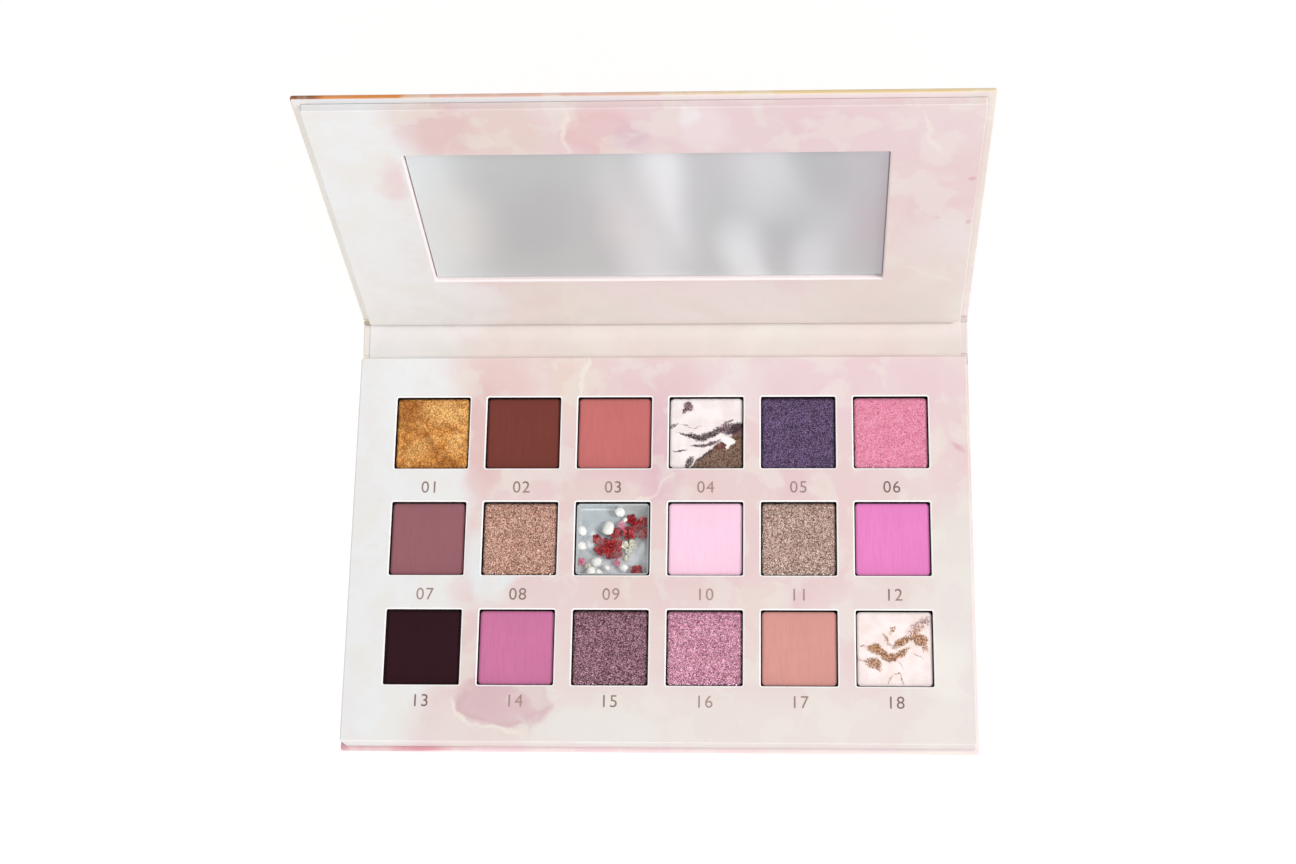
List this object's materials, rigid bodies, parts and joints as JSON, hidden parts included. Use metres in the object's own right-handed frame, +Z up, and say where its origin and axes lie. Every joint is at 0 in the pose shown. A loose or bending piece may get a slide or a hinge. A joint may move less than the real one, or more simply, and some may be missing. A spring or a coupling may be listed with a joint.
{
  "type": "eyeshadow palette",
  "caption": "Book-style paperboard eyeshadow palette: shallow tray of square pans under a windowed face card, folding spine and a lid with a framed mirror.",
  "frame": {"origin": "middle of the tray's footprint, on the underside of the bottom cover board, where the case rests on the table", "axes": "+X to the user's right along the hinges, +Y back from the front edge to the hinges, +Z up out of the pans"},
  "size_m": [0.219, 0.1819, 0.143],
  "materials": {
    "cover_print": "satin printed wrap paper",
    "face_print": "satin printed wrap paper",
    "greyboard": "raw board",
    "black_board": "matte",
    "pan_tin": "satin pressed metal",
    "mirror_glass": "polished",
    "foam_tape": "matte",
    "magnet_plating": "nickel plated",
    "amber_shimmer": "crumpled metallic shimmer",
    "brick_matte": "matte pressed powder",
    "coral_matte": "matte pressed powder",
    "cream_brown_marble": "marbled powder, satin",
    "indigo_shimmer": "fine shimmer",
    "rose_shimmer": "fine shimmer",
    "mauve_brown_matte": "matte pressed powder",
    "copper_glitter": "coarse pressed glitter",
    "clear_gel": "clear glossy gel with petals and beads",
    "pale_pink_matte": "matte pressed powder",
    "taupe_glitter": "coarse pressed glitter",
    "orchid_matte": "matte pressed powder",
    "aubergine_matte": "matte pressed powder",
    "mauve_pink_matte": "matte pressed powder",
    "plum_glitter": "coarse pressed glitter",
    "pink_glitter": "coarse pressed glitter",
    "peach_matte": "matte pressed powder",
    "cream_gold_marble": "marbled powder, satin"
  },
  "bodies": {
    "base": {"bottom_cover_board": "cover_print", "tray_wall_front": "face_print", "tray_wall_back": "face_print", "tray_wall_left": "face_print", "tray_wall_right": "face_print", "tray_floor_board": "greyboard", "riser_board": "greyboard", "well_board": "black_board", "face_card": "face_print", "pan_01": "pan_tin", "pan_02": "pan_tin", "pan_03": "pan_tin", "pan_04": "pan_tin", "pan_05": "pan_tin", "pan_06": "pan_tin", "pan_07": "pan_tin", "pan_08": "pan_tin", "pan_09": "pan_tin", "pan_10": "pan_tin", "pan_11": "pan_tin", "pan_12": "pan_tin", "pan_13": "pan_tin", "pan_14": "pan_tin", "pan_15": "pan_tin", "pan_16": "pan_tin", "pan_17": "pan_tin", "pan_18": "pan_tin", "cake_01": "amber_shimmer", "cake_02": "brick_matte", "cake_03": "coral_matte", "cake_04": "cream_brown_marble", "cake_05": "indigo_shimmer", "cake_06": "rose_shimmer", "cake_07": "mauve_brown_matte", "cake_08": "copper_glitter", "gel_09": "clear_gel", "cake_10": "pale_pink_matte", "cake_11": "taupe_glitter", "cake_12": "orchid_matte", "cake_13": "aubergine_matte", "cake_14": "mauve_pink_matte", "cake_15": "plum_glitter", "cake_16": "pink_glitter", "cake_17": "peach_matte", "cake_18": "cream_gold_marble", "tray_magnet_left": "magnet_plating", "tray_magnet_right": "magnet_plating", "spine_crease_paper": "cover_print"},
    "spine": {"spine_board": "cover_print", "spine_liner": "face_print", "lid_crease_paper": "cover_print"},
    "lid": {"lid_cover_board": "cover_print", "lid_panel": "face_print", "mirror_tape": "foam_tape", "mirror": "mirror_glass", "lid_magnet_left": "magnet_plating", "lid_magnet_right": "magnet_plating"}
  },
  "joints": [
    {"name": "spine_hinge", "type": "hinge", "parent": "base", "child": "spine", "pos_m": [0, 0.0713, 0.00075], "axis": [1, 0, 0], "range_deg": [-10, 80], "deforming": ["spine_crease_paper"]},
    {"name": "lid_hinge", "type": "hinge", "parent": "spine", "child": "lid", "pos_m": [0, 0.08627, 0.00339], "axis": [1, 0, 0], "range_deg": [-70, 20], "deforming": ["lid_crease_paper"]}
  ]
}
